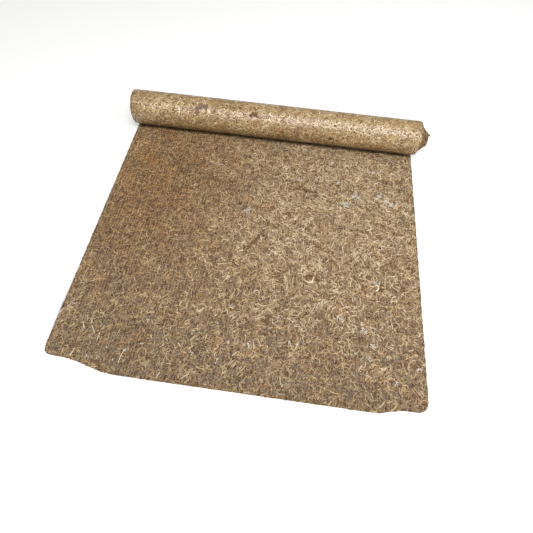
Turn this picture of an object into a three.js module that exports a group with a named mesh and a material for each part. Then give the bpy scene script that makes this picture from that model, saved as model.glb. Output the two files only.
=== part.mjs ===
// A straw erosion blanket, part rolled and part laid out on the ground.
// It is one long mat: a flat length at the front, which runs under the roll, turns up behind it
// and winds inwards to an open eye. The turns have slid sideways, the inner ones more, so the
// roll's right end is a stepped nose and its left end a stepped hollow.
// Millimetres, +X across the blanket along the roll, +Y from the front edge to the roll, +Z up.
import * as THREE from 'three';

// The mat
const matWidth = 1219;
const matThickness = 7;

// The length that lies flat, from its front edge to the line where the roll touches down
const laidLength = 1100;

// The front edge was cut by hand: each corner is set back from the straight middle and rounded
const leftSetBack = 33;
const leftSetBackReach = 28;
const leftSlopeReach = 272;
const leftCornerRadius = 24;
const rightSetBack = 18;
const rightSetBackReach = 58;
const rightSlopeReach = 182;
const rightCornerRadius = 34;

// The roll
const eyeRadius = 17;
const turnCount = 6.5;
const turnGap = 0.5;
const innermostSlide = 48;
const slideGrowth = 1.6; // 1 slides each turn as far as the last, and more slides the inner ones more

// Smoothness of the facets
const stepsPerTurn = 48;
const cornerSteps = 6;

const strawColour = 0x9c8257;

// The roll's centre line is a spiral that loses one pitch in radius each turn. It is tilted by
// leadAngle, so that it leaves the flat length exactly level.
const pitch = matThickness + turnGap;
const pitchPerRadian = pitch / (2 * Math.PI);
const outerRadius = eyeRadius + matThickness / 2 + turnCount * pitch;
const leadAngle = Math.atan(pitchPerRadian / outerRadius);
const woundAngle = 2 * Math.PI * turnCount;
const rollCentreY = outerRadius * Math.sin(leadAngle);
const rollCentreZ = matThickness / 2 + outerRadius * Math.cos(leadAngle);

// The plan of the flat length: up its left side, and back along the front edge, from the left
// touch-down point to the right one. The side between those two stays open for the roll.
function laidOutline() {
  const left = -matWidth / 2;
  const right = matWidth / 2;
  const front = -laidLength;
  const leftFront = front + leftSetBack;
  const rightFront = front + rightSetBack;
  const leftSlopeMiddle = left + (leftSetBackReach + leftSlopeReach) / 2;
  const rightSlopeMiddle = right - (rightSetBackReach + rightSlopeReach) / 2;

  const edge = new THREE.Path();
  edge.moveTo(left, 0);
  edge.lineTo(left, leftFront + leftCornerRadius);
  edge.absarc(left + leftCornerRadius, leftFront + leftCornerRadius, leftCornerRadius,
    Math.PI, 1.5 * Math.PI, false);
  edge.lineTo(left + leftSetBackReach, leftFront);
  edge.bezierCurveTo(leftSlopeMiddle, leftFront, leftSlopeMiddle, front,
    left + leftSlopeReach, front);
  edge.lineTo(right - rightSlopeReach, front);
  edge.bezierCurveTo(rightSlopeMiddle, front, rightSlopeMiddle, rightFront,
    right - rightSetBackReach, rightFront);
  edge.lineTo(right - rightCornerRadius, rightFront);
  edge.absarc(right - rightCornerRadius, rightFront + rightCornerRadius, rightCornerRadius,
    1.5 * Math.PI, 2 * Math.PI, false);
  edge.lineTo(right, 0);
  return withoutRepeats(edge.getPoints(cornerSteps));
}

function withoutRepeats(points) {
  const apart = 1e-6;
  return points.filter((p, i) => i === 0 || p.distanceTo(points[i - 1]) > apart);
}

// One cross-section of the wound length, at a winding angle from the touch-down line: its four
// corners, on the roll's outer and inner faces at the left and right edges.
function woundSection(angle) {
  const radius = outerRadius - pitchPerRadian * angle;
  const bearing = angle - leadAngle;
  const centre = new THREE.Vector2(
    rollCentreY + radius * Math.sin(bearing),
    rollCentreZ - radius * Math.cos(bearing));
  const along = new THREE.Vector2(
    radius * Math.cos(bearing) - pitchPerRadian * Math.sin(bearing),
    radius * Math.sin(bearing) + pitchPerRadian * Math.cos(bearing)).normalize();
  const outward = new THREE.Vector2(along.y, -along.x).multiplyScalar(matThickness / 2);
  const outer = centre.clone().add(outward);
  const inner = centre.clone().sub(outward);
  const slide = innermostSlide * (angle / woundAngle) ** slideGrowth;
  const left = slide - matWidth / 2;
  const right = slide + matWidth / 2;
  return [
    [left, outer.x, outer.y],
    [right, outer.x, outer.y],
    [right, inner.x, inner.y],
    [left, inner.x, inner.y],
  ];
}

// The whole mat as one closed surface. The flat length's lower face becomes the outer face of the
// roll, and its upper face the inner one.
function blanketGeometry() {
  const vertices = [];
  const triangles = [];
  const addVertex = (x, y, z) => vertices.push(x, y, z) / 3 - 1;
  const addQuad = (a, b, c, d) => triangles.push(a, b, c, a, c, d);

  // The flat length's two faces and its cut edge
  const outline = laidOutline();
  const lower = outline.map((p) => addVertex(p.x, p.y, 0));
  const upper = outline.map((p) => addVertex(p.x, p.y, matThickness));
  for (const [a, b, c] of THREE.ShapeUtils.triangulateShape(outline, [])) {
    triangles.push(upper[a], upper[b], upper[c]);
    triangles.push(lower[c], lower[b], lower[a]);
  }
  for (let i = 1; i < outline.length; i += 1) {
    addQuad(lower[i - 1], lower[i], upper[i], upper[i - 1]);
  }

  // The wound length, section by section, from the touch-down line to the eye
  let last = [lower[0], lower.at(-1), upper.at(-1), upper[0]];
  const steps = Math.round(turnCount * stepsPerTurn);
  for (let step = 1; step <= steps; step += 1) {
    const angle = woundAngle * step / steps;
    const next = woundSection(angle).map((corner) => addVertex(...corner));
    for (let side = 0; side < next.length; side += 1) {
      const other = (side + 1) % next.length;
      addQuad(last[other], last[side], next[side], next[other]);
    }
    last = next;
  }
  addQuad(...last.toReversed());

  const geometry = new THREE.BufferGeometry();
  geometry.setAttribute('position', new THREE.Float32BufferAttribute(vertices, 3));
  geometry.setIndex(triangles);
  geometry.computeVertexNormals();
  return geometry;
}

const straw = new THREE.MeshStandardMaterial({
  color: strawColour, roughness: 0.85, metalness: 0, flatShading: true,
});

const blanket = new THREE.Mesh(blanketGeometry(), straw);
blanket.name = 'straw_blanket';

// The origin is on the ground, under the middle of the blanket's bounding box
const box = new THREE.Box3().setFromObject(blanket);
const middle = box.getCenter(new THREE.Vector3());
blanket.position.set(-middle.x, -middle.y, -box.min.z);

const erosionBlanket = new THREE.Group();
erosionBlanket.add(blanket);

export default erosionBlanket;
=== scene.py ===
import math

import bpy
import numpy as np
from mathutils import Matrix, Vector


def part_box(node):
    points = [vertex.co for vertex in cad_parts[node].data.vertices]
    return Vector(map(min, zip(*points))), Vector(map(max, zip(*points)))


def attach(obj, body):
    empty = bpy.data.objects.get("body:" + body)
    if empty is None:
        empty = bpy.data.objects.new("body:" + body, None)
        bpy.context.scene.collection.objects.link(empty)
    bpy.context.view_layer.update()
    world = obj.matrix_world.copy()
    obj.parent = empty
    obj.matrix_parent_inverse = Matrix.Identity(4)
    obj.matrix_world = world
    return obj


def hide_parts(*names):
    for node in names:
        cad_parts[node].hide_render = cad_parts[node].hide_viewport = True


# A straw erosion blanket, part rolled and part laid out, dressed over its plain CAD solid.
# Metres, +X along the roll, +Y from the cut front edge to the roll, +Z up.

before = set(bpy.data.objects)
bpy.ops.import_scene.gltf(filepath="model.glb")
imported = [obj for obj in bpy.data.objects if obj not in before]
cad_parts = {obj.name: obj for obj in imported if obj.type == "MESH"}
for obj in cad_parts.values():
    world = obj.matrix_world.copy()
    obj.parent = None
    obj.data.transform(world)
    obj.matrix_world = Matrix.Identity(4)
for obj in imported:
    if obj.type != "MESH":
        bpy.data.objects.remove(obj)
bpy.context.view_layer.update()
blanketLow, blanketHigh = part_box("straw_blanket")

mm = 0.001


# The blanket's form

# The sizes of the CAD solid that the mat stands for
blanket = {
    "width": 1219 * mm,
    "thickness": 7 * mm,
    "laidLength": 1100 * mm,
    "eyeRadius": 17 * mm,
    "turnCount": 6.5,
    "turnGap": 0.5 * mm,
    "innermostSlide": 48 * mm,
    "slideGrowth": 1.6,
    "leftSetBack": 33 * mm,
    "leftSetBackReach": 28 * mm,
    "leftSlopeReach": 272 * mm,
    "leftCornerRadius": 24 * mm,
    "rightSetBack": 18 * mm,
    "rightSetBackReach": 58 * mm,
    "rightSlopeReach": 182 * mm,
    "rightCornerRadius": 34 * mm,
}

halfWidth = blanket["width"] / 2
halfThick = blanket["thickness"] / 2
pitchPerRadian = (blanket["thickness"] + blanket["turnGap"]) / (2 * math.pi)
outerRadius = (blanket["eyeRadius"] + halfThick
               + blanket["turnCount"] * pitchPerRadian * 2 * math.pi)
leadAngle = math.atan(pitchPerRadian / outerRadius)
middleX = blanketLow.x + halfWidth  # the middle of the laid length, across
frontY = blanketLow.y  # the foremost line of the cut edge
touchY = frontY + blanket["laidLength"]  # where the roll touches down
rollY = touchY + outerRadius * math.sin(leadAngle)
rollZ = halfThick + outerRadius * math.cos(leadAngle)

# The length wound up at each winding angle, so that the mat keeps its length round the roll
woundAngles = np.linspace(0, 2 * math.pi * blanket["turnCount"], 1200)
woundSteps = np.hypot(outerRadius - pitchPerRadian * woundAngles, pitchPerRadian)
woundLengths = np.concatenate([[0], np.cumsum(
    (woundSteps[1:] + woundSteps[:-1]) / 2 * np.diff(woundAngles))])
woundLength = float(woundLengths[-1])
firstTurnLength = float(np.interp(2 * math.pi, woundAngles, woundLengths))
matLength = blanket["laidLength"] + woundLength


# A point of the mat in space. across is from its middle, along from the foremost line of the
# front edge, and height from its middle layer towards the face that lies upwards on the ground.
def onMat(across, along, height):
    across, along, height = np.broadcast_arrays(across, along, height)
    angle = np.interp(along - blanket["laidLength"], woundLengths, woundAngles)
    radius = outerRadius - pitchPerRadian * angle
    bearing = angle - leadAngle
    alongY = radius * np.cos(bearing) - pitchPerRadian * np.sin(bearing)
    alongZ = radius * np.sin(bearing) + pitchPerRadian * np.cos(bearing)
    size = np.hypot(alongY, alongZ)
    laid = along <= blanket["laidLength"]
    slid = (angle / woundAngles[-1]) ** blanket["slideGrowth"]
    x = middleX + across + blanket["innermostSlide"] * slid
    y = np.where(laid, frontY + along,
                 rollY + radius * np.sin(bearing) - height * alongZ / size)
    z = np.where(laid, halfThick + height,
                 rollZ - radius * np.cos(bearing) + height * alongY / size)
    return np.stack([x, y, z], axis=-1)


# How far an S-shaped stretch of the hand-cut edge is set back at a distance from its side
def easedSetBack(fromSide, depth, near, far):
    u = np.linspace(0, 1, 33)
    reach = near + (far - near) * (1.5 * u * (1 - u) + u ** 3)
    return np.interp(fromSide, reach, depth * (1 - 3 * u ** 2 + 2 * u ** 3))


def roundedCorner(fromSide, radius):
    inside = np.clip(radius - fromSide, 0, radius)
    return radius - np.sqrt(radius ** 2 - inside ** 2)


# Where the front edge is, behind its foremost line
def frontEdge(across):
    fromLeft = np.clip(across + halfWidth, 0, None)
    fromRight = np.clip(halfWidth - across, 0, None)
    left = easedSetBack(fromLeft, blanket["leftSetBack"],
                        blanket["leftSetBackReach"], blanket["leftSlopeReach"])
    right = easedSetBack(fromRight, blanket["rightSetBack"],
                         blanket["rightSetBackReach"], blanket["rightSlopeReach"])
    return (left + right + roundedCorner(fromLeft, blanket["leftCornerRadius"])
            + roundedCorner(fromRight, blanket["rightCornerRadius"]))


# Smooth seeded waviness over the mat, about -1 to 1, from a sum of plane waves
def waviness(across, along, wavelength, seed, waves=9):
    chance = np.random.default_rng(seed)
    total = np.zeros(np.broadcast(across, along).shape)
    for _ in range(waves):
        turn = chance.uniform(0, 2 * math.pi)
        number = 2 * math.pi / (wavelength * chance.uniform(0.6, 1.6))
        phase = chance.uniform(0, 2 * math.pi)
        total += np.sin(number * (across * math.cos(turn) + along * math.sin(turn)) + phase)
    return total / math.sqrt(waves)


# Materials

# sRGB hex to the linear colour that shaders take
def linearColour(hexCode):
    parts = [int(hexCode[i:i + 2], 16) / 255 for i in (1, 3, 5)]
    return tuple(c / 12.92 if c <= 0.04045 else ((c + 0.055) / 1.055) ** 2.4
                 for c in parts) + (1.0,)


# Adds a node with its settings, and links or sets its inputs
def addNode(tree, kind, settings=None, inputs=None):
    node = tree.nodes.new(kind)
    for name, value in (settings or {}).items():
        setattr(node, name, value)
    for name, value in (inputs or {}).items():
        if isinstance(value, bpy.types.NodeSocket):
            tree.links.new(value, node.inputs[name])
        else:
            node.inputs[name].default_value = value
    return node


def newMaterial(name):
    material = bpy.data.materials.new(name)
    material.use_nodes = True
    material.node_tree.nodes.clear()
    return material, material.node_tree


# Sets a colour ramp's stops from a list of (place, hex colour)
def setStops(ramp, stops):
    elements = ramp.color_ramp.elements
    while len(elements) < len(stops):
        elements.new(0.5)
    for element, (place, colour) in zip(elements, stops):
        element.position = place
        element.color = linearColour(colour)


# Wheat straw, threshed and baled dry. A waxy skin over hollow stalks: each stalk has its own
# tone from weathered brown to pale gold, fine ribs along it, and a soft satin sheen.
strawFinish = {
    "stops": [(0.0, "#4c341b"), (0.2, "#6b502e"), (0.42, "#8c7045"),
              (0.64, "#ab9060"), (0.84, "#c9b287"), (1.0, "#e6dabd")],
    "dustAndGlint": "#d3cdc2",  # soil dust, which greys a stalk; also the pale of the chips painted as highlights at the flecks
    "weathered": "#fbd096",  # the cast of stalks that have weathered to an orange brown
    "ribSpacing": 0.9 * mm,  # real ribs are 0.2 mm apart, drawn wider to show in the render
    "ribLength": 22 * mm,
    "lift": 0.0,  # paler by this much along the stops
    "coat": 0.0,  # share of polished wax
    "ior": 1.48,
    "specular": 0.35,
    "roughness": (0.42, 0.72),
    "relief": 0.35,
}

# The same straw pressed flat and rubbed by rolling and handling: paler, and the polished wax
# gives a broad sheen
rubbedFinish = {
    **strawFinish,
    "stops": [(0.0, "#4c3218"), (0.2, "#6e4f28"), (0.42, "#8f6f3c"),
              (0.64, "#ae8f56"), (0.84, "#cab07d"), (1.0, "#e6d9b5")],
    "lift": 0.08,
    "coat": 0.8,
    "specular": 1.0,
    "roughness": (0.3, 0.42),
    "relief": 0.2,
}


def makeStraw(name, finish):
    material, tree = newMaterial(name)
    tone = addNode(tree, "ShaderNodeAttribute", {"attribute_name": "tone"})
    dust = addNode(tree, "ShaderNodeAttribute", {"attribute_name": "dust"})
    weather = addNode(tree, "ShaderNodeAttribute", {"attribute_name": "weather"})
    place = addNode(tree, "ShaderNodeUVMap", {"uv_map": "alongStalk"})
    stretched = addNode(tree, "ShaderNodeMapping", inputs={
        "Vector": place.outputs["UV"],
        "Scale": (1 / finish["ribLength"], 1 / finish["ribSpacing"], 1)})
    ribs = addNode(tree, "ShaderNodeTexNoise", {"noise_dimensions": "2D"},
                   {"Vector": stretched.outputs["Vector"], "Scale": 1.0, "Detail": 3.0})
    toned = addNode(tree, "ShaderNodeMath", {"operation": "MULTIPLY_ADD"},
                    {0: ribs.outputs["Fac"], 1: 0.44, 2: tone.outputs["Fac"]})
    lowered = addNode(tree, "ShaderNodeMath", {"operation": "SUBTRACT", "use_clamp": True},
                      {0: toned.outputs[0], 1: 0.22 - finish["lift"]})
    colour = addNode(tree, "ShaderNodeValToRGB", inputs={"Fac": lowered.outputs[0]})
    setStops(colour, finish["stops"])
    cast = addNode(tree, "ShaderNodeMix", {"data_type": "RGBA", "blend_type": "MULTIPLY"},
                   {0: weather.outputs["Fac"], 6: colour.outputs["Color"],
                    7: linearColour(finish["weathered"])})
    dusted = addNode(tree, "ShaderNodeMix", {"data_type": "RGBA"},
                     {0: dust.outputs["Fac"], 6: cast.outputs[2],
                      7: linearColour(finish["dustAndGlint"])})
    matt = addNode(tree, "ShaderNodeMapRange", inputs={
        "Value": ribs.outputs["Fac"], "From Min": 0.3, "From Max": 0.7,
        "To Min": finish["roughness"][0], "To Max": finish["roughness"][1]})
    bump = addNode(tree, "ShaderNodeBump", inputs={
        "Height": ribs.outputs["Fac"], "Strength": finish["relief"],
        "Distance": 0.4 * mm})
    shader = addNode(tree, "ShaderNodeBsdfPrincipled", inputs={
        "Base Color": dusted.outputs[2], "Roughness": matt.outputs["Result"],
        "IOR": finish["ior"], "Specular IOR Level": finish["specular"],
        "Coat Weight": finish["coat"], "Coat Roughness": finish["roughness"][0],
        "Normal": bump.outputs["Normal"]})
    addNode(tree, "ShaderNodeOutputMaterial", inputs={"Surface": shader.outputs[0]})
    return material


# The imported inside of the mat: chaff and stalks pressed together, seen in the gaps between the
# loose stalks, on the cut ends and on the underside. Darker and matt, as light hardly gets in.
mattedFinish = {
    "stops": [(0.0, "#322112"), (0.3, "#553b20"), (0.6, "#7b5c3a"), (0.85, "#9f8057"),
              (1.0, "#c2aa82")],
    "stalkWidth": 3.2 * mm,
    "stalkLength": 26 * mm,
    "directions": (12, 49, 81, 118, 157),  # degrees from the mat's width
    "rubbedLift": 0.24,  # paler by this much along the stops on the outside of the roll
    "ior": 1.45,
    "roughness": (0.6, 0.85),
}


def makeMattedStraw(name, finish):
    material, tree = newMaterial(name)
    place = addNode(tree, "ShaderNodeUVMap", {"uv_map": "onBlanket"})
    layers = None
    for index, degrees in enumerate(finish["directions"]):  # stalks lying in each direction
        turned = addNode(tree, "ShaderNodeMapping", {"vector_type": "TEXTURE"}, {
            "Vector": place.outputs["UV"],
            "Location": (0.37 * index, 0.21 * index, 0),
            "Rotation": (0, 0, math.radians(degrees)),
            "Scale": (finish["stalkLength"], finish["stalkWidth"], 1)})
        stalks = addNode(tree, "ShaderNodeTexNoise", {"noise_dimensions": "2D"}, {
            "Vector": turned.outputs["Vector"], "Scale": 1.0, "Detail": 1.5,
            "Roughness": 0.45})
        if layers is None:
            layers = stalks.outputs["Fac"]
        else:
            layers = addNode(tree, "ShaderNodeMath", {"operation": "MAXIMUM"},
                             {0: layers, 1: stalks.outputs["Fac"]}).outputs[0]
    spread = addNode(tree, "ShaderNodeMapRange", inputs={
        "Value": layers, "From Min": 0.5, "From Max": 0.78, "To Min": 0.0, "To Max": 1.0})
    rubbed = addNode(tree, "ShaderNodeAttribute", {"attribute_name": "rubbed"})
    lifted = addNode(tree, "ShaderNodeMath", {"operation": "MULTIPLY_ADD"},
                     {0: rubbed.outputs["Fac"], 1: finish["rubbedLift"],
                      2: spread.outputs["Result"]})
    colour = addNode(tree, "ShaderNodeValToRGB", inputs={"Fac": lifted.outputs[0]})
    setStops(colour, finish["stops"])
    matt = addNode(tree, "ShaderNodeMapRange", inputs={
        "Value": spread.outputs["Result"],
        "To Min": finish["roughness"][1], "To Max": finish["roughness"][0]})
    bump = addNode(tree, "ShaderNodeBump", inputs={
        "Height": spread.outputs["Result"], "Strength": 0.8, "Distance": 1.6 * mm})
    shader = addNode(tree, "ShaderNodeBsdfPrincipled", inputs={
        "Base Color": colour.outputs["Color"], "Roughness": matt.outputs["Result"],
        "IOR": finish["ior"], "Normal": bump.outputs["Normal"]})
    addNode(tree, "ShaderNodeOutputMaterial", inputs={"Surface": shader.outputs[0]})
    return material


# Extruded polypropylene net: thin, smooth and milky, so it all but vanishes over the straw.
netFinish = {
    "stops": [(0.0, "#a3947a"), (1.0, "#d3c8b0")],
    "patchSize": 60 * mm,
    "ior": 1.49,
    "roughness": 0.38,
}

# The same net folded over itself along the edge: the layers scatter more light, so it is white
# with a lavender cast.
foldedNetFinish = {**netFinish, "stops": [(0.0, "#b4b4c4"), (1.0, "#dcdce8")],
                   "patchSize": 14 * mm}

# Spun polyester stitching thread: off-white, matt, with a twist that shades it at each turn.
threadFinish = {
    "stops": [(0.0, "#a08c6c"), (1.0, "#d9ccb0")],
    "patchSize": 3 * mm,  # real twist repeats each 0.8 mm, drawn longer to show
    "ior": 1.5,
    "roughness": 0.8,
}


def makeStrand(name, finish):
    material, tree = newMaterial(name)
    place = addNode(tree, "ShaderNodeUVMap", {"uv_map": "alongStalk"})
    scaled = addNode(tree, "ShaderNodeMapping", inputs={
        "Vector": place.outputs["UV"],
        "Scale": (1 / finish["patchSize"], 2 / finish["patchSize"], 1)})
    patches = addNode(tree, "ShaderNodeTexNoise", {"noise_dimensions": "2D"},
                      {"Vector": scaled.outputs["Vector"], "Scale": 1.0, "Detail": 2.0})
    colour = addNode(tree, "ShaderNodeValToRGB", inputs={"Fac": patches.outputs["Fac"]})
    setStops(colour, finish["stops"])
    bump = addNode(tree, "ShaderNodeBump", inputs={
        "Height": patches.outputs["Fac"], "Strength": 0.4, "Distance": 0.1 * mm})
    shader = addNode(tree, "ShaderNodeBsdfPrincipled", inputs={
        "Base Color": colour.outputs["Color"], "Roughness": finish["roughness"],
        "IOR": finish["ior"], "Normal": bump.outputs["Normal"]})
    addNode(tree, "ShaderNodeOutputMaterial", inputs={"Surface": shader.outputs[0]})
    return material


wheatStraw = makeStraw("wheat_straw", strawFinish)
rubbedStraw = makeStraw("wheat_straw_rubbed", rubbedFinish)
mattedStraw = makeMattedStraw("matted_straw", mattedFinish)
netPlastic = makeStrand("polypropylene_net", netFinish)
foldedNet = makeStrand("polypropylene_net_folded", foldedNetFinish)
stitchThread = makeStrand("polyester_thread", threadFinish)
print("materials made")


# Making and fixing a piece

# A mesh object from points and faces, with number attributes on its points and UV maps on its
# face corners
def makePiece(name, points, faces, material, numbers=None, maps=None, smooth=False):
    mesh = bpy.data.meshes.new(name)
    mesh.from_pydata(points.tolist(), [], faces)
    mesh.update()
    for key, values in (numbers or {}).items():
        layer = mesh.attributes.new(key, "FLOAT", "POINT")
        layer.data.foreach_set("value", values.astype(np.float32))
    for key, values in (maps or {}).items():
        layer = mesh.uv_layers.new(name=key)
        layer.uv.foreach_set("vector", values.astype(np.float32).ravel())
    mesh.polygons.foreach_set("use_smooth", [smooth] * len(mesh.polygons))
    mesh.materials.append(material)
    piece = bpy.data.objects.new(name, mesh)
    bpy.context.scene.collection.objects.link(piece)
    return piece


def fixPiece(piece):
    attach(piece, "root")


# The mat itself

matBody = {
    "columns": 118,
    "crowding": 1.4,  # draws the columns towards the sides, where the corners are round
    "laidRows": 116,
    "firstTurnRows": 56,
    "innerRowsPerTurn": 26,
    "facing": 0.9 * mm,  # how far its faces lie inside the CAD solid's, for the loose stalks
    "lumpHeight": 0.7 * mm,
    "lumpSize": 45 * mm,
    "frayDepth": 0.9 * mm,
    "fraySize": 14 * mm,
    "seed": 11,
}


def makeMatBody(size):
    place = np.linspace(-1, 1, size["columns"] + 1)
    across = halfWidth * np.sign(place) * (1 - (1 - np.abs(place)) ** size["crowding"])
    innerRows = round(size["innerRowsPerTurn"] * (blanket["turnCount"] - 1))
    laid = np.linspace(0, blanket["laidLength"], size["laidRows"] + 1)[:-1]
    firstTurn = np.linspace(0, firstTurnLength, size["firstTurnRows"] + 1)[:-1]
    inner = np.linspace(firstTurnLength, woundLength, innerRows + 1)
    along = np.concatenate([laid, blanket["laidLength"] + firstTurn,
                            blanket["laidLength"] + inner])
    a, t = np.meshgrid(across, along)
    start = frontEdge(a)
    t = np.where(t < blanket["laidLength"],
                 start + t * (1 - start / blanket["laidLength"]), t)
    # The cut sides fray in and out a little
    fray = size["frayDepth"] * waviness(t, 0 * t, size["fraySize"], size["seed"])
    a = a + fray * (np.abs(a) / halfWidth) ** 60 * -np.sign(a)
    lumps = size["lumpHeight"] * waviness(a, t, size["lumpSize"], size["seed"] + 1)
    lumps += 0.5 * size["lumpHeight"] * waviness(a, t, size["lumpSize"] / 3, size["seed"] + 2)
    half = halfThick - size["facing"]
    wound = t > blanket["laidLength"]
    upper = onMat(a, t, half + np.where(wound, 0.25 * lumps, lumps))
    lower = onMat(a, t, -half + np.where(wound, 0.25 * lumps, 0.15 * lumps - 0.5 * mm))

    rows, columns = a.shape
    points = np.concatenate([upper.reshape(-1, 3), lower.reshape(-1, 3)])
    at = np.arange(rows * columns).reshape(rows, columns)
    under = at + rows * columns
    near, far = at[:-1], at[1:]
    nearUnder, farUnder = under[:-1], under[1:]
    top = np.stack([near[:, :-1], near[:, 1:], far[:, 1:], far[:, :-1]], -1).reshape(-1, 4)
    bottom = np.stack([nearUnder[:, :-1], farUnder[:, :-1], farUnder[:, 1:],
                       nearUnder[:, 1:]], -1).reshape(-1, 4)
    leftSide = np.stack([near[:, 0], far[:, 0], farUnder[:, 0], nearUnder[:, 0]], -1)
    rightSide = np.stack([near[:, -1], nearUnder[:, -1], farUnder[:, -1], far[:, -1]], -1)
    frontSide = np.stack([at[0, 1:], at[0, :-1], under[0, :-1], under[0, 1:]], -1)
    eyeSide = np.stack([at[-1, :-1], at[-1, 1:], under[-1, 1:], under[-1, :-1]], -1)
    faces = np.concatenate([top, bottom, leftSide, rightSide, frontSide, eyeSide])

    # Flat places on the mat, with the underside laid beside the upper side
    flatUpper = np.stack([a + halfWidth, t], -1).reshape(-1, 2)
    flatLower = np.stack([a + halfWidth + blanket["width"] + 20 * mm, t], -1).reshape(-1, 2)
    flat = np.concatenate([flatUpper, flatLower])[faces]
    isSide = np.zeros(len(faces), bool)
    isSide[len(top) + len(bottom):] = True
    underCorner = faces >= rows * columns
    sideFlat = np.concatenate([flatUpper, flatUpper])[faces]
    sideFlat = sideFlat + np.where(underCorner, blanket["thickness"], 0)[..., None]
    flat = np.where(isSide[:, None, None], sideFlat, flat)
    bakeSize = np.array([2 * blanket["width"] + 30 * mm, matLength + 20 * mm])
    outside = wound & (t < blanket["laidLength"] + firstTurnLength)
    return makePiece("straw_mat", points, faces.tolist(), mattedStraw,
                     {"rubbed": np.tile(outside.ravel(), 2)},
                     {"onBlanket": flat, "OFBake": flat / bakeSize}, smooth=True)


mat = makeMatBody(matBody)
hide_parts("straw_blanket")
fixPiece(mat)
print("mat body made:", len(mat.data.polygons), "faces")


# Loose stalks on the mat

# Where stalks are paler, darker or dusty: (across, along, size across, size along, tone, dust),
# in millimetres from the mat's middle and from the front edge
laidPatches = [
    (-420, 500, 300, 900, -0.16, 0.0),
    (400, 640, 320, 600, 0.08, 0.0),
    (40, 560, 420, 300, 0.11, 0.0),
    (-100, 900, 500, 160, 0.03, 0.0),
    (100, 100, 700, 380, -0.09, 0.008),
    (420, 80, 260, 300, -0.07, 0.0),
    (0, 0, 900, 110, -0.16, 0.0),
    (-420, 120, 220, 130, -0.03, 0.01),
    (-150, 800, 120, 50, -0.14, 0.0),
    (190, 800, 80, 30, -0.12, 0.0),
    # painted shade: a darker strip in the crevice where the roll sits on the ground length
    (0, 1076, 2000, 12, -0.2, 0.0),
    (-60, 690, 60, 30, -0.12, 0.0),
    (300, 965, 150, 90, 0.04, 0.04),
    (490, 850, 110, 190, 0.03, 0.05),
    (560, 720, 60, 120, 0.0, 0.04),
]

# Small spots of pale chips on top, a painted highlight where broken stalks and net stand up and
# catch the light: (across, along, size)
laidFlecks = [
    (426, 947, 9), (464, 819, 11), (508, 795, 10), (515, 782, 8), (371, 800, 16),
    (331, 759, 14), (141, 859, 9), (299, 862, 9), (145, 1029, 7), (601, 892, 8),
    (601, 750, 7), (-47, 686, 8), (-56, 666, 12), (480, 837, 9), (329, 283, 9),
    (407, 248, 12), (445, 432, 8), (424, 158, 8), (166, 177, 7), (-32, 150, 7), (-140, 102, 7),
    (-353, 79, 6), (31, 149, 8), (589, 149, 9), (440, 203, 8), (514, 90, 8),
]


# Adds up the patches at these places: the change of tone, and the share of dusty stalks
def patchEffect(patches, across, along):
    tone = np.zeros(across.shape)
    dust = np.zeros(across.shape)
    for x, y, sizeX, sizeY, toneChange, dustChange in patches:
        near = np.exp(-((across / mm - x) / sizeX) ** 2 - ((along / mm - y) / sizeY) ** 2)
        tone += toneChange * near
        dust += dustChange * near
    return tone, dust


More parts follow.
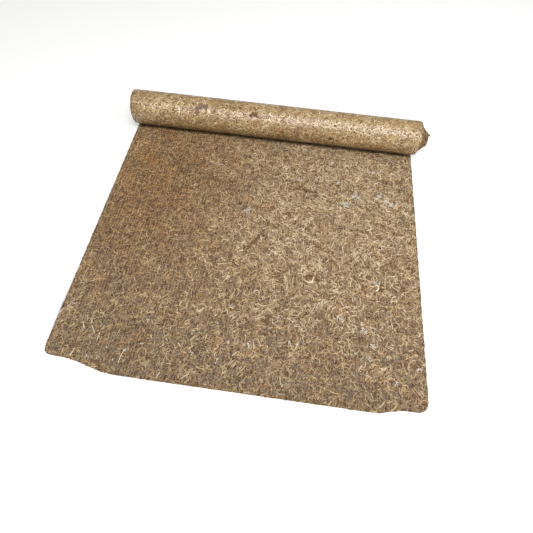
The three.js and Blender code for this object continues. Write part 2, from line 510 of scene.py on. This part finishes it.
# One closed, flattened stalk for each row of the arrays, lying on one face of the mat and
# straight, or bent where it has more segments. ends and middle are the heights of its base over
# that face. A stalk has a ridge, so that one flank catches the light. The patches' tone is added
# point by point, so that a mark keeps its outline where stalks cross it.
def makeStalks(name, across, along, turn, length, width, ridge, bend, ends, middle, face,
               segments, tone, dust, weather, patches, material, slotName):
    count = len(across)
    stations = np.linspace(-0.5, 0.5, segments + 1)[None, :]
    directionX, directionY = np.cos(turn)[:, None], np.sin(turn)[:, None]
    arch = 1 - 4 * stations ** 2
    bow = arch * (bend * length)[:, None]
    centreX = across[:, None] + directionX * stations * length[:, None] - directionY * bow
    centreY = along[:, None] + directionY * stations * length[:, None] + directionX * bow
    base = (0.5 - stations) * ends[:, :1] + (0.5 + stations) * ends[:, 1:]
    base = base + arch * (middle - ends.mean(1))[:, None]
    thick = ridge * width[:, None] * (0.8 + 0.2 * arch)
    corners = []
    for sideways, lift in ((-0.5, 0.0), (0.06, 1.0), (0.5, 0.0)):  # left edge, ridge, right edge
        x = centreX - directionY * sideways * width[:, None]
        y = centreY + directionX * sideways * width[:, None]
        corners.append(onMat(x, y, face * (halfThick + base + lift * thick)))
    points = np.stack(corners, 2).reshape(-1, 3)  # stalk by stalk, station by station
    toneAt = tone[:, None] + patchEffect(patches, centreX, centreY)[0]

    # Three quads for each segment, and a triangle at each end
    each = 3 * (segments + 1)
    first = np.arange(count)[:, None, None] * each
    order = (0, 1, 2) if face > 0 else (2, 1, 0)
    quads = []
    for station in range(segments):
        here = 3 * station
        for k in range(3):
            one, other = order[k], order[(k + 1) % 3]
            quads.append([here + one, here + 3 + one, here + 3 + other, here + other])
    last = 3 * segments
    caps = [[order[0], order[1], order[2]],
            [last + order[2], last + order[1], last + order[0]]]
    faces = (first + np.array(quads)).reshape(-1, 4).tolist()
    faces += (first + np.array(caps)).reshape(-1, 3).tolist()

    # Places along the stalk for its ribs, and a cell of the bake's image for each stalk
    offset = np.random.default_rng(count).uniform(0, 9, (count, 2))
    quadU = np.array([[n, n + 1, n + 1, n] for n in range(segments) for _ in range(3)]) / segments
    quadV = np.array([[k, k, k + 1, k + 1] for _ in range(segments) for k in range(3)]) / 3
    capU = np.array([[0.0, 0.02, 0.0], [1.0, 0.98, 1.0]])
    capV = np.array([[0.1, 0.5, 0.9], [0.1, 0.5, 0.9]])
    columns = math.ceil(math.sqrt(count / 5))
    rows = math.ceil(count / columns)
    cellX = (np.arange(count) % columns)[:, None, None]
    cellY = (np.arange(count) // columns)[:, None, None]
    ribs = []
    cells = []
    for u, v in ((quadU, quadV), (capU, capV)):
        alongIt = offset[:, 0, None, None] + u[None] * length[:, None, None]
        roundIt = offset[:, 1, None, None] + v[None] * 2 * width[:, None, None]
        ribs.append(np.stack([alongIt, roundIt], -1).reshape(-1, 2))
        bakeU = (cellX + 0.04 + 0.92 * u[None]) / columns
        bakeV = (cellY + 0.12 + 0.76 * v[None]) / rows
        cells.append(np.stack([bakeU, bakeV], -1).reshape(-1, 2))
    piece = makePiece(name, points, faces, material,
                      {"tone": np.repeat(toneAt.ravel(), 3), "dust": np.repeat(dust, each),
                       "weather": np.repeat(weather, each)},
                      {"alongStalk": np.concatenate(ribs), "OFBake": np.concatenate(cells)})
    fixPiece(piece)
    print(name, "made:", count, "stalks")


# The stalks that lie on the ground length's upper face
laidStalks = {
    "layers": [("pressed", 22000, 1), ("loose", 18500, 1), ("bent", 8500, 2)],
    "length": (8 * mm, 30 * mm),
    "width": (1.3 * mm, 3.4 * mm),
    "ridge": 0.3,  # height over width
    "bend": 0.12,
    "rise": 1.6 * mm,  # how high the topmost lie over the mat's face
    "dip": 2.4 * mm,  # how far their ends go down between the others
    "tone": (0.47, 0.4),  # middle, and how far either way
    "frontSpread": 0.4,  # the tones go this much further either way near the front edge
    "veil": 0.11,  # the mean share of grey dust on each stalk
    "cleanPlace": (-450, 800, 320, 500),  # where it has none: middle and size, millimetres
    "seed": 21,
}

# The stalks on the outside of the roll: pressed flatter, rubbed paler by handling
rollStalks = {
    "layers": [("pressed", 9000, 1), ("bent", 5500, 2)],
    "length": (9 * mm, 36 * mm),
    "width": (1.5 * mm, 3.6 * mm),
    "ridge": 0.08,
    "bend": 0.10,
    "rise": 0.7 * mm,
    "dip": 1.5 * mm,
    "tone": (0.53, 0.34),
    "frontSpread": 0.0,
    "veil": 0.03,
    "cleanPlace": (0, 1300, 10, 10),
    "seed": 31,
}

# Painted shade on the roll: its left rim is darker where its end turns into shade, and a strip of
# its underside is darker in the crevice where it meets the ground. Measured from the front edge
# as on the laid length
rollPaintedShade = [
    (-611, 1300, 10, 190, -0.42, 0.0),
    (0, 1462, 2000, 14, -0.15, 0.0),
]


# Strews stalks over a stretch of the mat, none of them past its sides or its front edge
def strew(size, count, alongFrom, alongTo, patches, flecks, seed):
    chance = np.random.default_rng(seed)
    tries = int(1.25 * count)
    across = chance.uniform(-halfWidth, halfWidth, tries)
    along = chance.uniform(alongFrom, alongTo, tries)
    length = chance.triangular(size["length"][0], size["length"][0] * 1.8,
                               size["length"][1], tries)
    turn = chance.uniform(0, math.pi, tries)
    inside = np.ones(tries, bool)
    for end in (-0.5, 0.5):
        endAcross = across + end * length * np.cos(turn)
        endAlong = along + end * length * np.sin(turn)
        spare = chance.uniform(-1.0, 0.8, tries) * mm
        inside &= np.abs(endAcross) < halfWidth + spare
        inside &= endAlong > frontEdge(endAcross) + spare
    kept = np.flatnonzero(inside)[:count]
    across, along, length, turn = across[kept], along[kept], length[kept], turn[kept]
    count = len(kept)
    width = chance.uniform(*size["width"], count)
    dustChange = patchEffect(patches, across, along)[1]
    # Every chip inside a fleck is made pale, as a painted highlight
    for x, y, radius in flecks:
        dustChange += 1.0 * (np.hypot(across / mm - x, along / mm - y) < radius)
    dustAndGlint = chance.uniform(0, 1, count) < 0.004 + dustChange
    length = np.where(dustAndGlint, 0.55 * length, length)  # dust shows on the broken chips, and the flecks' painted highlights are short chips too
    middle = size["rise"] * (chance.uniform(0, 1, count) ** 1.2 - 0.35)
    middle = np.where(dustAndGlint & (dustChange > 0.5), size["rise"], middle)  # a fleck's chips on top, pale as a painted highlight
    ends = middle[:, None] - size["dip"] * chance.uniform(0, 1, (count, 2))
    drift = 0.05 * waviness(across, along, 160 * mm, size["seed"])
    drift += 0.06 * waviness(across, along, 45 * mm, size["seed"] + 1)
    middleTone, spread = size["tone"]
    spread = spread * (1 + size["frontSpread"] * np.exp(-(along / (380 * mm)) ** 2))
    tone = middleTone + spread * chance.uniform(-1, 1, count) + drift
    x, y, sizeX, sizeY = size["cleanPlace"]
    clean = np.exp(-((across / mm - x) / sizeX) ** 2 - ((along / mm - y) / sizeY) ** 2)
    veil = size["veil"] * (1 - clean) * chance.uniform(0, 2, count)
    dust = np.where(dustAndGlint, chance.uniform(0.5, 1.0, count), veil)
    weather = 0.1 + 0.4 * clean + 0.2 * waviness(across, along, 110 * mm, size["seed"] + 2)
    weather = np.clip(weather + chance.uniform(-0.3, 0.3, count), 0, 1)
    bend = chance.normal(0, size["bend"], count)
    return dict(across=across, along=along, turn=turn, length=length, width=width,
                ridge=size["ridge"], bend=bend, ends=ends, middle=middle,
                tone=tone, dust=dust, weather=weather, patches=patches)


for place, size, face, alongFrom, alongTo, patches, flecks, material in (
        ("laid", laidStalks, 1, 0, blanket["laidLength"] - 6 * mm, laidPatches, laidFlecks,
         wheatStraw),
        ("roll", rollStalks, -1, blanket["laidLength"] + 20 * mm,
         blanket["laidLength"] + firstTurnLength, rollPaintedShade, [], rubbedStraw)):
    for number, (layer, count, segments) in enumerate(size["layers"]):
        stalks = strew(size, count, alongFrom, alongTo, patches, flecks,
                       size["seed"] + 10 * number)
        makeStalks(f"{place}_stalks_{layer}", **stalks, face=face, segments=segments,
                   material=material, slotName="straw")


# Stalk ends that stick out of the cut sides and the front edge
edgeStalks = {
    "spacing": 1.25 * mm,
    "length": (8 * mm, 20 * mm),
    "width": (1.5 * mm, 3.2 * mm),
    "ridge": 0.3,
    "reach": (-2.5 * mm, 1.0 * mm),  # how far their tips stand out
    "slant": 0.9,  # radians, about square to the edge
    "tone": (0.48, 0.33),
    "seed": 41,
}


def makeEdgeStalks(size):
    chance = np.random.default_rng(size["seed"])
    for edge in ("left", "right", "front"):
        span = blanket["width"] if edge == "front" else matLength
        count = int(span / size["spacing"])
        length = chance.uniform(*size["length"], count)
        turn = chance.normal(0, size["slant"], count)
        reach = np.abs(np.cos(turn)) * length / 2 - chance.uniform(*size["reach"], count)
        if edge == "front":
            turn = turn + math.pi / 2
            across = chance.uniform(-halfWidth + 20 * mm, halfWidth - 26 * mm, count)
            along = frontEdge(across) + reach
        else:
            side = -1 if edge == "left" else 1
            across = side * (halfWidth - reach)
            start = float(frontEdge(np.array(side * halfWidth))) + size["length"][1] / 2
            along = chance.uniform(start, matLength - 2 * mm, count)
        width = chance.uniform(*size["width"], count)
        room = halfThick - 0.36 * width
        middle = -halfThick + chance.uniform(-0.9, 0.9, count) * room
        ends = middle[:, None] + chance.uniform(-0.4, 0.4, (count, 2)) * mm
        middleTone, spread = size["tone"]
        tone = middleTone + chance.uniform(-spread, spread, count)
        # The edge stalks take the roll's painted shade, which darkens them at its left rim
        makeStalks(f"{edge}_edge_stalks", across, along, turn, length, width, size["ridge"],
                   np.zeros(count), ends, middle, 1, 1, tone, np.zeros(count),
                   chance.uniform(0, 0.6, count), rollPaintedShade, wheatStraw, "straw")


makeEdgeStalks(edgeStalks)


# The few long pale stalks that lie on top near the front edge
loneStalks = {
    "places": [(-515, 50), (-359, 57), (-282, 133), (-228, 17), (-146, 25), (-139, 247),
               (-476, 131), (-512, 140), (-451, 108), (-186, 120), (-4, 115), (291, 315)],
    "lengths": [27, 42, 14, 22, 25, 20, 30, 28, 26, 14, 20, 14],
    "turns": [77, 82, 123, 71, 44, 37, 128, 123, 89, 141, 47, 69],  # degrees
    "width": 2.2 * mm,
    "height": 1.3 * mm,
    "tone": 0.98,
}


def makeLoneStalks(size):
    places = np.array(size["places"]) * mm
    count = len(places)
    height = np.full(count, size["height"])
    makeStalks("lone_stalks", places[:, 0], places[:, 1], np.radians(size["turns"]),
               np.array(size["lengths"]) * mm, np.full(count, size["width"]), 0.3,
               np.full(count, 0.03), np.stack([height, height], 1), height, 1, 2,
               np.full(count, size["tone"]), np.full(count, 0.15), np.zeros(count), [],
               wheatStraw, "straw")


makeLoneStalks(loneStalks)

# Two wide pale straws that lie bent over, each beside a hollow drawn with dark stalks as painted
# shade
curledStalks = {
    "places": [(213, 414), (454, 409)],
    "lengths": [38, 22],
    "turns": [30, 67],
    "bends": [-0.4, -0.22],  # how far they bow, over their length
    "width": 5.6 * mm,
    "height": 1.8 * mm,
    "tone": 0.96,
}


def makeCurledStalks(size):
    places = np.array(size["places"]) * mm
    count = len(places)
    height = np.full(count, size["height"])
    makeStalks("curled_stalks", places[:, 0], places[:, 1], np.radians(size["turns"]),
               np.array(size["lengths"]) * mm, np.full(count, size["width"]), 0.2,
               np.array(size["bends"]), np.stack([height, height], 1), height, 1, 8,
               np.full(count, size["tone"]), np.full(count, 0.1), np.zeros(count), [],
               wheatStraw, "straw")


makeCurledStalks(curledStalks)

# Dark marks of short stalks that lie on top. Each has a line of (across, along) places in
# millimetres, its width, how many stalks, how dusty they are, and the face it is on.
darkMarks = {
    "marks": [
        ([(-312, 1337), (-284, 1340)], 9, 85, 0.12, -1),
        ([(-316, 1342), (-326, 1370)], 10, 75, 0.12, -1),
        ([(-98, 1355), (-86, 1345), (-72, 1347)], 8, 40, 0.0, -1),
        ([(234, 1410), (252, 1404)], 6, 20, 0.0, -1),
        ([(-30, 500), (-10, 528), (2, 546), (22, 576)], 8, 80, 0.0, 1),
        ([(-226, 806), (-150, 800), (-120, 812)], 12, 60, 0.0, 1),
        ([(130, 812), (215, 800)], 12, 60, 0.0, 1),
        # These four marks are painted shade: dark stalks for the hollows beside the two curled
        # straws
        ([(201, 416), (211, 426), (222, 418)], 6, 60, 0.0, 1),
        ([(240, 408), (241, 421)], 5, 26, 0.0, 1),
        ([(194, 400), (207, 395)], 5, 24, 0.0, 1),
        ([(466, 401), (468, 419)], 5, 26, 0.0, 1),
        ([(97, 252), (86, 254), (83, 238), (87, 223)], 6, 80, 0.0, 1),
    ],
    "length": (5 * mm, 12 * mm),
    "width": (1.8 * mm, 3.2 * mm),
    "height": 1.0 * mm,
    "tone": (-0.05, 0.36),
    "seed": 81,
}


def makeDarkMarks(size):
    chance = np.random.default_rng(size["seed"])
    for number, (line, spread, count, dust, face) in enumerate(size["marks"]):
        line = np.array(line) * mm
        part = chance.uniform(0, len(line) - 1, count)
        across = np.interp(part, np.arange(len(line)), line[:, 0])
        along = np.interp(part, np.arange(len(line)), line[:, 1])
        across += chance.normal(0, spread / 2.5, count) * mm
        along += chance.normal(0, spread / 2.5, count) * mm
        height = size["height"] * chance.uniform(0.6, 1.0, count)
        makeStalks(f"dark_mark_{number + 1}", across, along, chance.uniform(0, math.pi, count),
                   chance.uniform(*size["length"], count),
                   chance.uniform(*size["width"], count), 0.15, np.zeros(count),
                   np.stack([height, height], 1), height, face, 1,
                   chance.uniform(*size["tone"], count), np.full(count, dust),
                   np.full(count, 0.4), [], wheatStraw, "straw")


makeDarkMarks(darkMarks)


# The net and the stitching

# A thin three-sided strand through each row of a grid of places on the mat
def makeStrands(name, across, along, height, radius, material):
    count, stations = across.shape
    points = []
    for k in range(3):
        angle = 2 * math.pi * k / 3 + math.pi / 2
        runsAcross = abs(across[0, -1] - across[0, 0]) > abs(along[0, -1] - along[0, 0])
        sideways = radius * math.cos(angle)
        x = across if runsAcross else across + sideways
        y = along + sideways if runsAcross else along
        points.append(onMat(x, y, height + radius * math.sin(angle)))
    points = np.stack(points, 2).reshape(-1, 3)
    first = (np.arange(count)[:, None] * stations + np.arange(stations - 1)) * 3
    faces = []
    for k in range(3):
        other = (k + 1) % 3
        faces.append(np.stack([first + k, first + 3 + k, first + 3 + other, first + other],
                              -1).reshape(-1, 4))
    faces = np.concatenate(faces)
    start = np.arange(count) * stations * 3
    end = start + (stations - 1) * 3
    caps = np.concatenate([np.stack([start, start + 1, start + 2], -1),
                           np.stack([end + 2, end + 1, end], -1)])
    allFaces = faces.tolist() + caps.tolist()
    station = np.arange(len(points)) // 3
    step = np.hypot(across[0, 1] - across[0, 0], along[0, 1] - along[0, 0])
    lengthwise = (station % stations) * step
    row = station // stations
    place = np.stack([lengthwise + 0.37 * row, (np.arange(len(points)) % 3) * radius * 2], -1)
    bake = np.stack([(station % stations + 0.5) / stations,
                     (row + 0.15 + 0.7 * (np.arange(len(points)) % 3) / 2) / count], -1)
    corners = np.concatenate([faces.ravel(), caps.ravel()])
    piece = makePiece(name, points, allFaces, material,
                      maps={"alongStalk": place[corners], "OFBake": bake[corners]})
    fixPiece(piece)
    print(name, "made:", count, "strands")
    return piece


net = {
    "spacing": 10.5 * mm,
    "crossSpacing": 21 * mm,
    "radius": 0.2 * mm,
    "step": 12 * mm,
    "height": 1.3 * mm,  # over the mat's upper face
    "heightChange": 0.6 * mm,
    "wander": 0.9 * mm,
    "seed": 51,
}


def makeNet(size):
    count = int(blanket["width"] / size["spacing"]) - 1
    stations = int(blanket["laidLength"] / size["step"])
    across = (np.arange(count) - (count - 1) / 2)[:, None] * size["spacing"]
    along = np.linspace(0, 1, stations)[None, :]
    start = frontEdge(across) + 2 * mm
    along = start + along * (blanket["laidLength"] - 12 * mm - start)
    across = across + size["wander"] * waviness(across + 0 * along, along, 90 * mm,
                                                size["seed"])
    height = halfThick + size["height"] + size["heightChange"] * waviness(
        across, along, 25 * mm, size["seed"] + 1)
    makeStrands("net_lengthwise", across, along, height, size["radius"], netPlastic)
    count = int(blanket["laidLength"] / size["crossSpacing"]) - 2
    stations = int(blanket["width"] / size["step"])
    along = (40 * mm + np.arange(count) * size["crossSpacing"])[:, None]
    across = np.linspace(-halfWidth + 3 * mm, halfWidth - 3 * mm, stations)[None, :]
    along = along + size["wander"] * 2 * waviness(across, along + 0 * across, 120 * mm,
                                                  size["seed"] + 2)
    across = across + 0 * along
    height = halfThick + size["height"] + size["heightChange"] * waviness(
        across, along, 25 * mm, size["seed"] + 3)
    makeStrands("net_crosswise", across, along, height, size["radius"], netPlastic)


makeNet(net)

# The net's spare width, folded out along the left side for part of the ground length
spareNet = {
    "from": 96 * mm,  # along the side
    "to": 262 * mm,
    "width": 7 * mm,
    "overlap": 3 * mm,
    "thickness": 0.5 * mm,
    "height": 2.2 * mm,
    "stations": 42,
}


def makeSpareNet(size):
    along = np.linspace(size["from"], size["to"], size["stations"])
    part = (along - size["from"]) / (size["to"] - size["from"])
    taper = np.sin(math.pi * part) ** 0.45
    out = -halfWidth - size["width"] * taper * (1 + 0.12 * waviness(along, 0, 40 * mm, 71))
    inside = np.full(len(along), -halfWidth + size["overlap"])
    height = -halfThick + size["height"] * (1 + 0.3 * waviness(along, 0, 60 * mm, 72))
    rim = [(out, height - size["thickness"]), (inside, height), (inside, height + 0.5 * mm),
           (out, height)]
    points = np.stack([onMat(x, along, z) for x, z in rim], 1).reshape(-1, 3)
    first = np.arange(size["stations"] - 1)[:, None] * 4
    faces = []
    for k in range(4):
        other = (k + 1) % 4
        faces += (first + [k, other, other + 4, k + 4]).tolist()
    last = 4 * (size["stations"] - 1)
    faces += [[3, 2, 1, 0], [last, last + 1, last + 2, last + 3]]
    place = np.stack([np.repeat(along, 4), np.tile([0, 9, 10, 1], len(along)) * mm], -1)
    corners = np.concatenate([np.array(face) for face in faces])
    unfolded = place[corners] / [size["to"] * 1.05, 12 * mm]
    piece = makePiece("spare_net", points, faces, foldedNet,
                      maps={"alongStalk": place[corners], "OFBake": unfolded})
    fixPiece(piece)
    print("spare_net made")


makeSpareNet(spareNet)

stitching = {
    "spacing": 21 * mm,
    "radius": 0.4 * mm,
    "stitch": 14 * mm,
    "laidHeight": 1.0 * mm,
    "rollHeight": 0.8 * mm,
    "sink": 0.9 * mm,
    "seed": 61,
}


def makeStitching(size):
    count = int(blanket["width"] / size["spacing"])
    across = (np.arange(count) - (count - 1) / 2)[:, None] * size["spacing"]
    for label, face, start, end, lift in (
            ("laid", 1, 8 * mm, blanket["laidLength"] - 10 * mm, size["laidHeight"]),
            ("roll", -1, blanket["laidLength"] + 10 * mm,
             blanket["laidLength"] + firstTurnLength, size["rollHeight"])):
        stations = int((end - start) / size["stitch"] * 2)
        along = start + np.linspace(0, 1, stations)[None, :] * (end - start)
        if face > 0:
            begin = frontEdge(across) + 4 * mm
            along = begin + (along - start) * (end - begin) / (end - start)
        sway = 0.5 * mm * waviness(across + 0 * along, along, 70 * mm, size["seed"])
        x = across + sway
        pulled = size["sink"] * (np.arange(stations) % 2)  # every other point dips at a stitch
        height = face * (halfThick + lift - pulled + 0 * x)
        along = along + 0 * x
        makeStrands(f"stitching_{label}", x, along, height, size["radius"], stitchThread)


makeStitching(stitching)


# The stage, the light and the camera

studio = {
    "floorColour": "#fafaf9",
    "floorSize": 14.0,
    "skyColour": "#ffffff",
    "skyStrength": 0.38,
    "keyPower": 372,
    "keyPlace": (0.5, -2.2, 5.85),
    "keySize": (5.6, 1.5),  # a long softbox, so that the sheen runs along the whole roll
    "sidePower": 26,
    "sidePlace": (2.4, -0.3, 1.7),
    "sideSize": (1.4, 1.4),
}

camera = {
    "place": (0.0792, -0.6920, 1.1121),
    "angles": (26.349, -1.341, 7.645),  # degrees about X, Y and Z
    "lens": 22.96,
    "sensor": 36.0,
}


def makeStudio(size):
    half = size["floorSize"] / 2
    points = np.array([[-half, -half, 0], [half, -half, 0], [half, half, 0], [-half, half, 0]])
    material, tree = newMaterial("studio_paper")
    shader = addNode(tree, "ShaderNodeBsdfPrincipled", inputs={
        "Base Color": linearColour(size["floorColour"]), "Roughness": 0.9})
    addNode(tree, "ShaderNodeOutputMaterial", inputs={"Surface": shader.outputs[0]})
    floor = makePiece("floor", points, [[0, 1, 2, 3]], material)
    world = bpy.data.worlds.new("studio_sky")
    bpy.context.scene.world = world
    world.use_nodes = True
    background = world.node_tree.nodes["Background"]
    background.inputs["Color"].default_value = linearColour(size["skyColour"])
    background.inputs["Strength"].default_value = size["skyStrength"]
    for name, power, place, sides in (
            ("key_light", size["keyPower"], size["keyPlace"], size["keySize"]),
            ("side_light", size["sidePower"], size["sidePlace"], size["sideSize"])):
        data = bpy.data.lights.new(name, "AREA")
        data.energy = power
        data.shape = "RECTANGLE"
        data.size, data.size_y = sides
        light = bpy.data.objects.new(name, data)
        light.location = place
        light.rotation_euler = Vector(place).to_track_quat("Z", "Y").to_euler()
        bpy.context.scene.collection.objects.link(light)
    bpy.context.scene.view_settings.view_transform = "Standard"
    return floor


def makeCamera(size):
    data = bpy.data.cameras.new("camera")
    data.sensor_width = size["sensor"]
    data.lens = size["lens"]
    view = bpy.data.objects.new("camera", data)
    view.location = size["place"]
    view.rotation_euler = [math.radians(angle) for angle in size["angles"]]
    bpy.context.scene.collection.objects.link(view)
    bpy.context.scene.camera = view


floor = makeStudio(studio)
makeCamera(camera)
print("studio and camera made")
